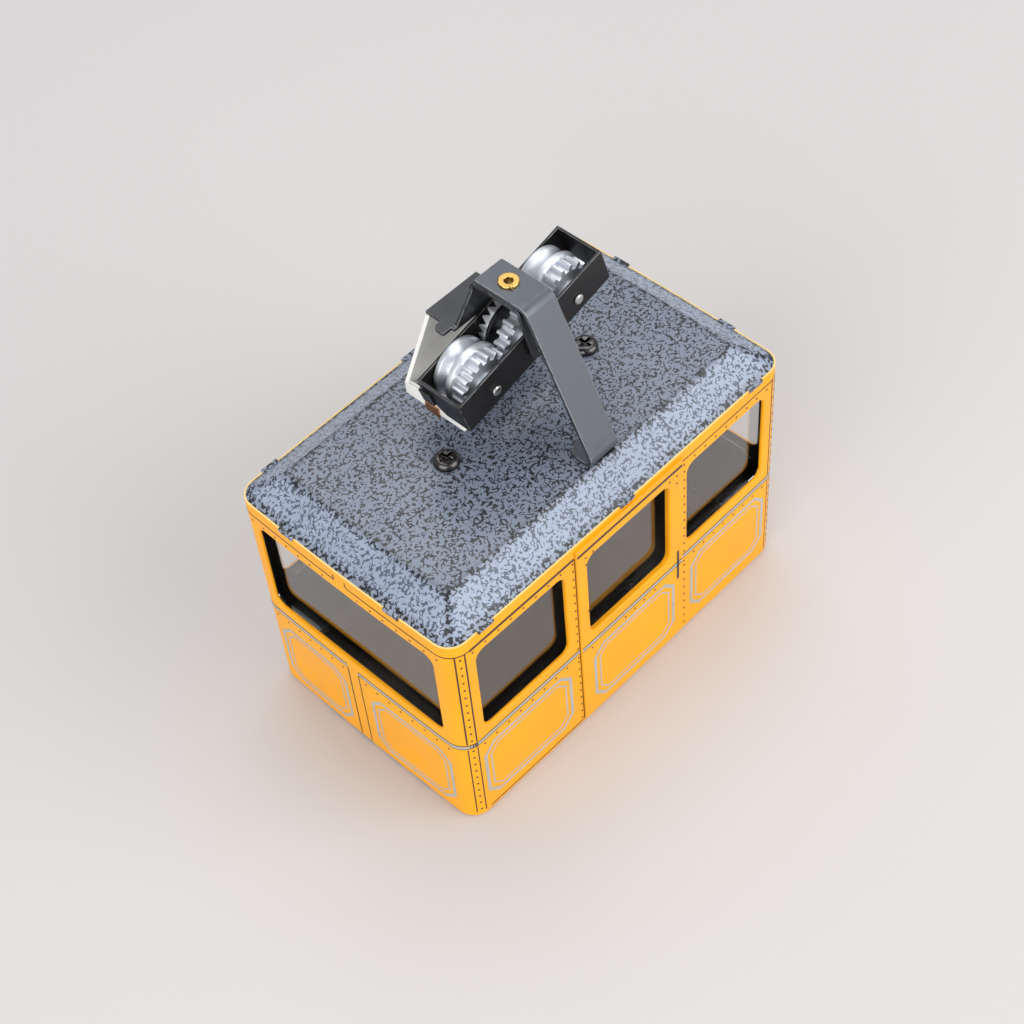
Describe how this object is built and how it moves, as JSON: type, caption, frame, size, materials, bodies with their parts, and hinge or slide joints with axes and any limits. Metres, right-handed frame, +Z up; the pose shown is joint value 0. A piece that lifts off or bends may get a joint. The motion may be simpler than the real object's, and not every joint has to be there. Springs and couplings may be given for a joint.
{
  "type": "toy cable car cabin",
  "caption": "Toy cable car cabin in printed tinplate, with a hanger strap, a rocking two-wheel rope trolley with meshed gears and a rope guard.",
  "frame": {"origin": "middle of the cabin's flat underside, on the surface it stands on", "axes": "+Z up; X along the cabin, with the end that the trolley dips towards at -X; Y across it, with the hanger's arm on the -Y side and the rope guard on the +Y side"},
  "size_m": [0.1014, 0.0628, 0.1028],
  "materials": {
    "litho_body": "glossy printed lacquer on tinplate, yellow with silver and dark print",
    "floor_tin": "satin dark lacquer on tinplate",
    "roof_paint": "semi-gloss grey-blue with fine dark marks",
    "clear_window": "clear glossy sheet",
    "screw_nickel": "dark nickel plate",
    "strap_steel": "dull dark plated steel",
    "eyelet_brass": "bright brass",
    "bracket_steel": "dull plated steel",
    "guard_ivory": "glossy ivory",
    "clip_copper": "copper strip",
    "trolley_black": "satin black lacquer",
    "wheel_zinc": "bright turned zinc casting",
    "disc_black": "satin black",
    "escape_steel": "bright stamped steel",
    "axle_steel": "bright steel"
  },
  "bodies": {
    "root": {"body_shell": "litho_body", "floor_pan": "floor_tin", "roof_pan": "roof_paint", "left_glazing": "clear_window", "right_glazing": "clear_window", "front_glazing": "clear_window", "rear_glazing": "clear_window", "roof_screw_front": "screw_nickel", "roof_screw_rear": "screw_nickel", "hanger_strap": "strap_steel", "eyelet": "eyelet_brass", "trolley_bracket": "bracket_steel", "rope_guard": "guard_ivory", "guard_clip": "clip_copper"},
    "trolley": {"trolley_frame": "trolley_black", "trolley_side_plate": "trolley_black"},
    "front_wheelset": {"front_wheel": "wheel_zinc", "front_axle": "axle_steel"},
    "centre_gearset": {"centre_gear": "wheel_zinc", "brake_disc": "disc_black", "escape_wheel": "escape_steel", "centre_axle": "axle_steel"},
    "rear_wheelset": {"rear_wheel": "wheel_zinc", "rear_axle": "axle_steel"}
  },
  "joints": [
    {"name": "trolley_rock", "type": "hinge", "parent": "root", "child": "trolley", "pos_m": [0.0027, -0.0002, 0.0884], "axis": [0, 1, 0], "range_deg": [0, 30.4]},
    {"name": "front_wheel_spin", "type": "hinge", "parent": "trolley", "child": "front_wheelset", "pos_m": [-0.00927, -0.0002, 0.08515], "axis": [0, 1, 0], "continuous": true},
    {"name": "centre_gear_spin", "type": "hinge", "parent": "trolley", "child": "centre_gearset", "pos_m": [0.0027, -0.0002, 0.0884], "axis": [0, 1, 0], "continuous": true},
    {"name": "rear_wheel_spin", "type": "hinge", "parent": "trolley", "child": "rear_wheelset", "pos_m": [0.01467, -0.0002, 0.09165], "axis": [0, 1, 0], "continuous": true}
  ],
  "couplings": [
    {"joint": "centre_gear_spin", "follows": "front_wheel_spin", "ratio": -1},
    {"joint": "rear_wheel_spin", "follows": "front_wheel_spin", "ratio": 1}
  ]
}
